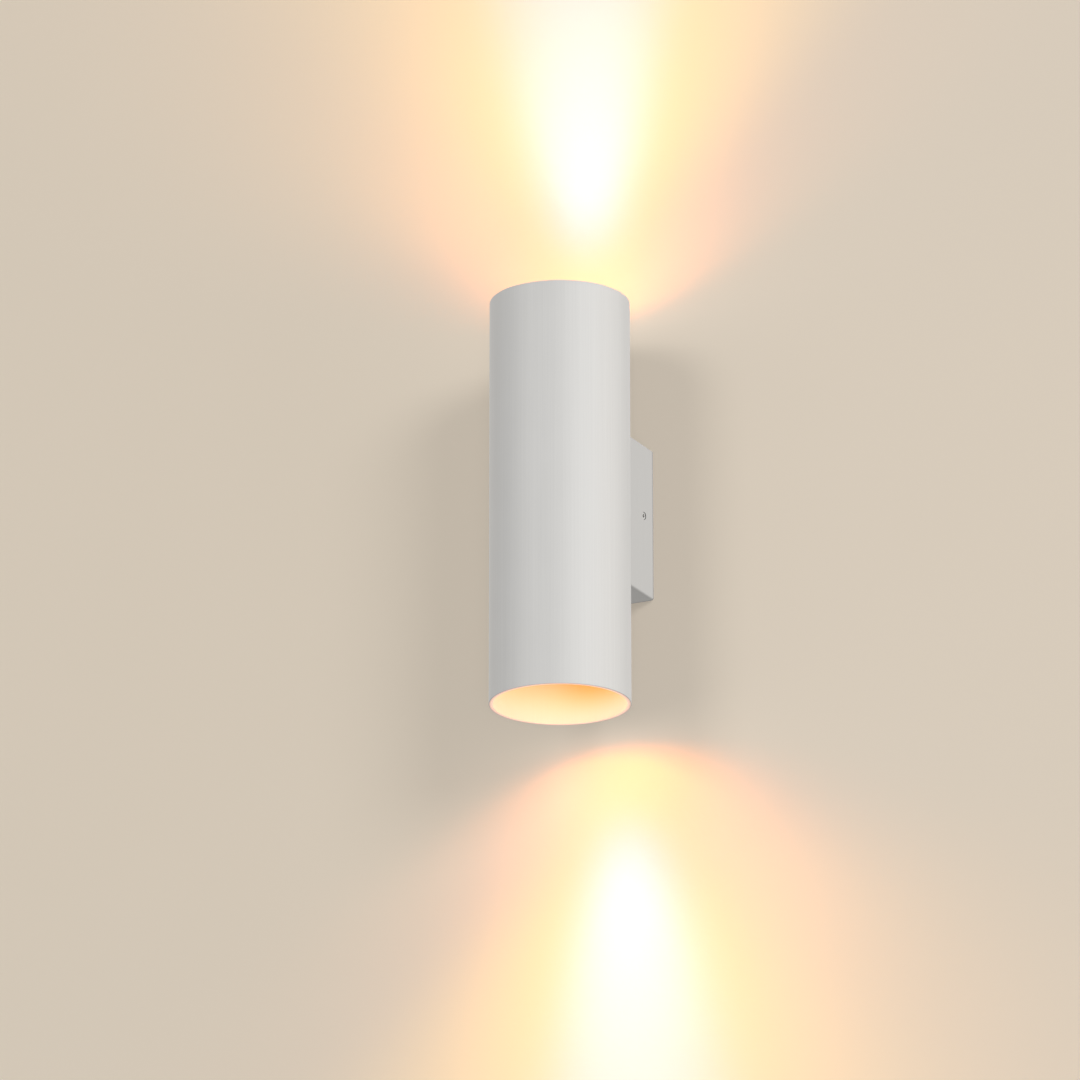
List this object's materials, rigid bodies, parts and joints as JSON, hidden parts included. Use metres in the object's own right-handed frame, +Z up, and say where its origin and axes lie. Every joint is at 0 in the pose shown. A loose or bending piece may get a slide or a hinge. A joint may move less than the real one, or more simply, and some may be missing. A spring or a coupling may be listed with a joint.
{
  "type": "tube wall light",
  "caption": "Wall light that shines up and down: a satin aluminium tube with open ends on a narrower wall box, with a recessed twist-lock lamp behind each end.",
  "frame": {"origin": "centre of the wall bracket's rear face, on the wall plane", "axes": "+Y into the wall, +Z up along the tube, +X to the right of a person who faces the wall"},
  "size_m": [0.072, 0.0909, 0.215],
  "materials": {
    "tube_aluminium": "fine satin, clear anodised, light grey",
    "box_aluminium": "fine satin, clear anodised, light grey",
    "bracket_steel": "zinc plated, spangled, slightly bluish",
    "set_screw_steel": "plain stainless steel",
    "fastener_steel": "bright zinc plated",
    "grommet_rubber": "black moulded rubber, matt",
    "carrier_steel": "zinc plated strip",
    "block_plastic": "moulded natural polyamide",
    "clamp_brass": "machined brass",
    "lug_copper": "tinned copper",
    "holder_ceramic": "unglazed white ceramic",
    "contact_bronze": "spring bronze",
    "lamp_shell_metal": "painted cast aluminium, off-white",
    "lamp_base_plastic": "white moulded plastic",
    "pin_nickel": "nickel plated brass",
    "board_plastic": "white solder-resist board",
    "emitter_plastic": "yellow phosphor",
    "reflector_metal": "bright metallised",
    "lens_glass": "clear, slightly frosted",
    "live_silicone": "brown silicone",
    "neutral_silicone": "blue silicone",
    "earth_silicone": "green and yellow silicone"
  },
  "bodies": {
    "bracket": {"wall_bracket": "bracket_steel", "cable_grommet": "grommet_rubber"},
    "fitting": {"tube_body": "tube_aluminium", "wall_box": "box_aluminium", "carrier_screws": "fastener_steel", "carrier_screw_washers": "fastener_steel", "box_screws": "fastener_steel", "box_screw_washers": "fastener_steel", "box_nuts": "fastener_steel", "lamp_carrier": "carrier_steel", "terminal_block": "block_plastic", "terminal_clamps": "clamp_brass", "terminal_screws": "fastener_steel", "earth_screw": "fastener_steel", "earth_lug": "lug_copper", "upper_live_lead": "live_silicone", "lower_live_lead": "live_silicone", "upper_neutral_lead": "neutral_silicone", "lower_neutral_lead": "neutral_silicone", "earth_lead": "earth_silicone", "upper_lampholder": "holder_ceramic", "upper_holder_contacts": "contact_bronze", "upper_holder_screws": "fastener_steel", "lower_lampholder": "holder_ceramic", "lower_holder_contacts": "contact_bronze", "lower_holder_screws": "fastener_steel"},
    "right_set_screw": {"right_set_screw": "set_screw_steel"},
    "left_set_screw": {"left_set_screw": "set_screw_steel"},
    "upper_lamp": {"upper_lamp_shell": "lamp_shell_metal", "upper_lamp_base": "lamp_base_plastic", "upper_lamp_pins": "pin_nickel", "upper_lamp_board": "board_plastic", "upper_lamp_emitter": "emitter_plastic", "upper_lamp_reflector": "reflector_metal", "upper_lamp_lens": "lens_glass"},
    "lower_lamp": {"lower_lamp_shell": "lamp_shell_metal", "lower_lamp_base": "lamp_base_plastic", "lower_lamp_pins": "pin_nickel", "lower_lamp_board": "board_plastic", "lower_lamp_emitter": "emitter_plastic", "lower_lamp_reflector": "reflector_metal", "lower_lamp_lens": "lens_glass"}
  },
  "joints": [
    {"name": "fitting_pull_off", "type": "slide", "parent": "bracket", "child": "fitting", "axis": [0, -1, 0], "range_m": [0, 0.03]},
    {"name": "right_set_screw_out", "type": "slide", "parent": "fitting", "child": "right_set_screw", "axis": [1, 0, 0], "range_m": [0, 0.003]},
    {"name": "left_set_screw_out", "type": "slide", "parent": "fitting", "child": "left_set_screw", "axis": [-1, 0, 0], "range_m": [0, 0.003]},
    {"name": "upper_lamp_twist", "type": "hinge", "parent": "fitting", "child": "upper_lamp", "pos_m": [0, -0.0549, 0.0346], "axis": [0, 0, 1], "range_deg": [0, 40]},
    {"name": "lower_lamp_twist", "type": "hinge", "parent": "fitting", "child": "lower_lamp", "pos_m": [0, -0.0549, -0.0346], "axis": [0, 0, -1], "range_deg": [0, 40]}
  ]
}
